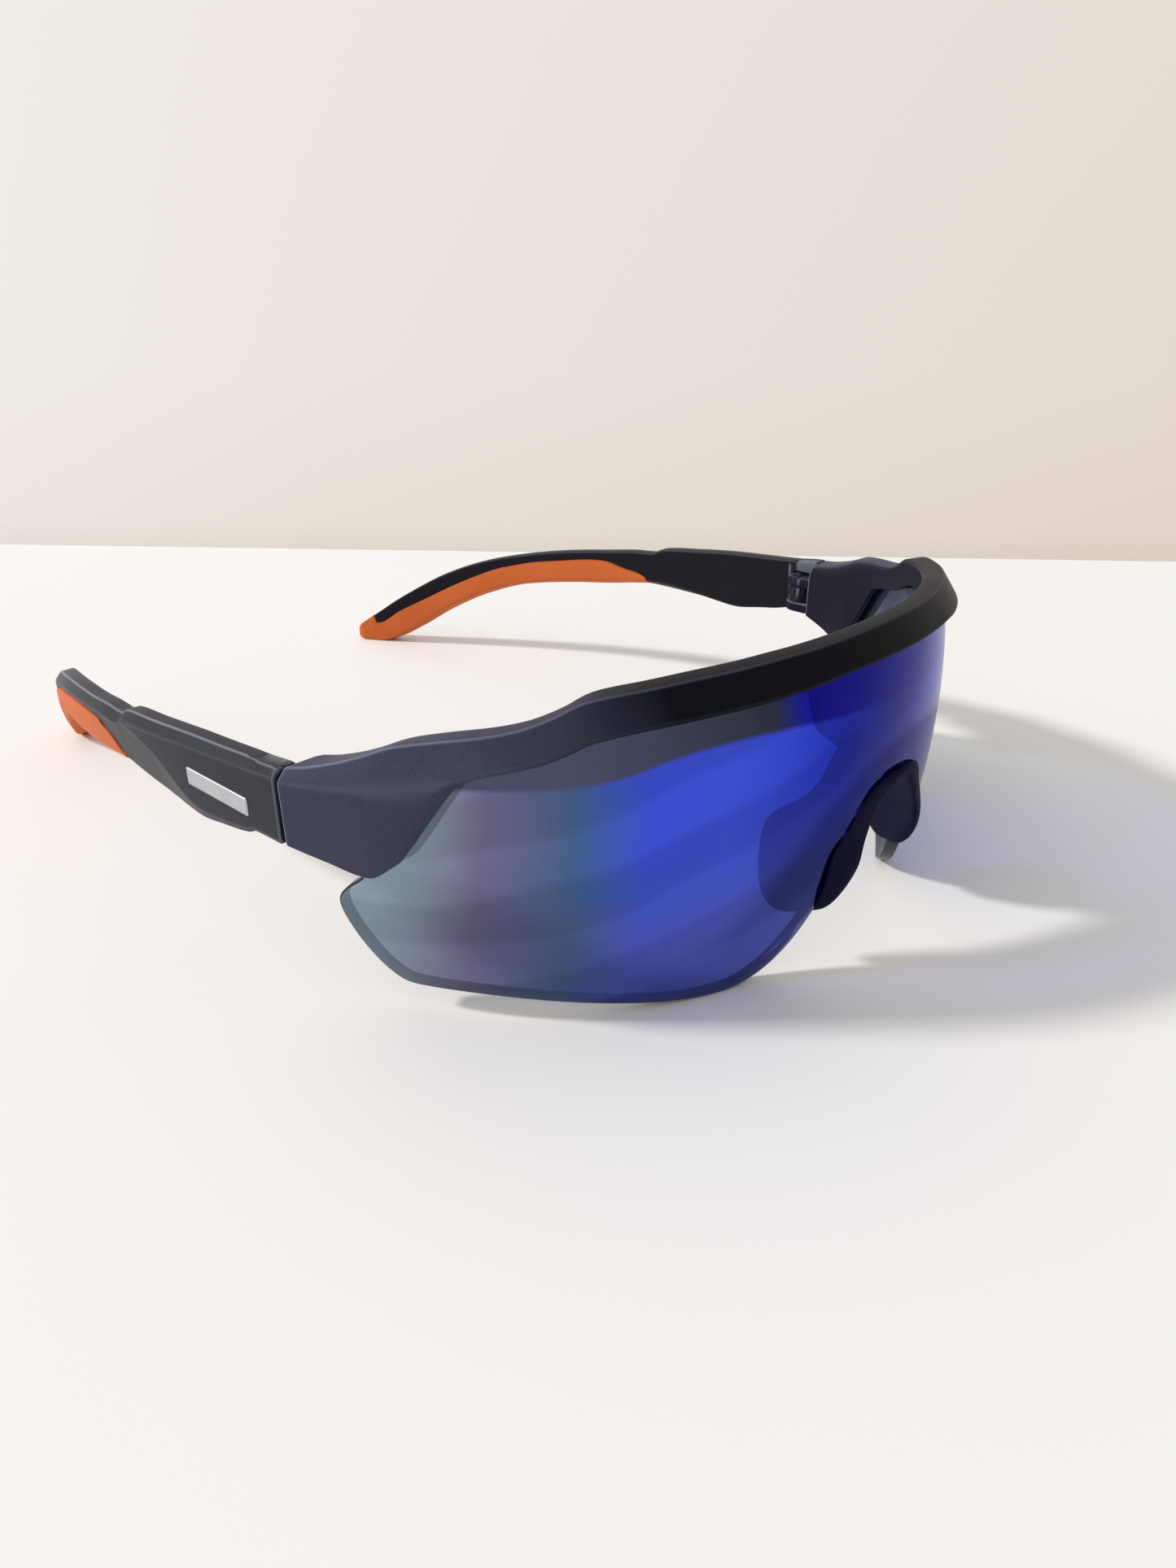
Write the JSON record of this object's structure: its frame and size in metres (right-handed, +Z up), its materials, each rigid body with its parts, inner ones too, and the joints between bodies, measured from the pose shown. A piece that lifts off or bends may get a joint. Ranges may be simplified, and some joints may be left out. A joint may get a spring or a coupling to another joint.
{
  "type": "wraparound sport sunglasses",
  "caption": "Wraparound half-rim sport sunglasses with a mirrored shield lens, a soft nose pad and two folding temples with rubber grips.",
  "frame": {"origin": "centre of the box round the open glasses, on the surface they stand on", "axes": "+X towards the wearer's left, +Y back along the temples, +Z up; the lens faces -Y"},
  "size_m": [0.137, 0.1718, 0.051],
  "materials": {
    "frame": "matte dark navy",
    "lens": "blue mirror coat, partly see-through",
    "nose_pad": "soft satin black",
    "temple": "satin charcoal",
    "grip": "matte orange",
    "inlay": "satin",
    "screw": "bright",
    "insert": "turned"
  },
  "bodies": {
    "front": {"front_frame": "frame", "shield_lens": "lens", "nose_pad": "nose_pad", "hinge_screw_left": "screw", "hinge_screw_right": "screw", "hinge_insert_left": "insert", "hinge_insert_right": "insert"},
    "left_temple": {"temple_left": "temple", "temple_grip_left": "grip", "temple_inlay_left": "inlay"},
    "right_temple": {"temple_right": "temple", "temple_grip_right": "grip", "temple_inlay_right": "inlay"}
  },
  "joints": [
    {"name": "left_temple_fold", "type": "hinge", "parent": "front", "child": "left_temple", "pos_m": [0.0632, -0.03268, 0.03075], "axis": [0, 0, 1], "range_deg": [0, 76]},
    {"name": "right_temple_fold", "type": "hinge", "parent": "front", "child": "right_temple", "pos_m": [-0.0632, -0.03268, 0.03075], "axis": [0, 0, -1], "range_deg": [0, 82]}
  ]
}
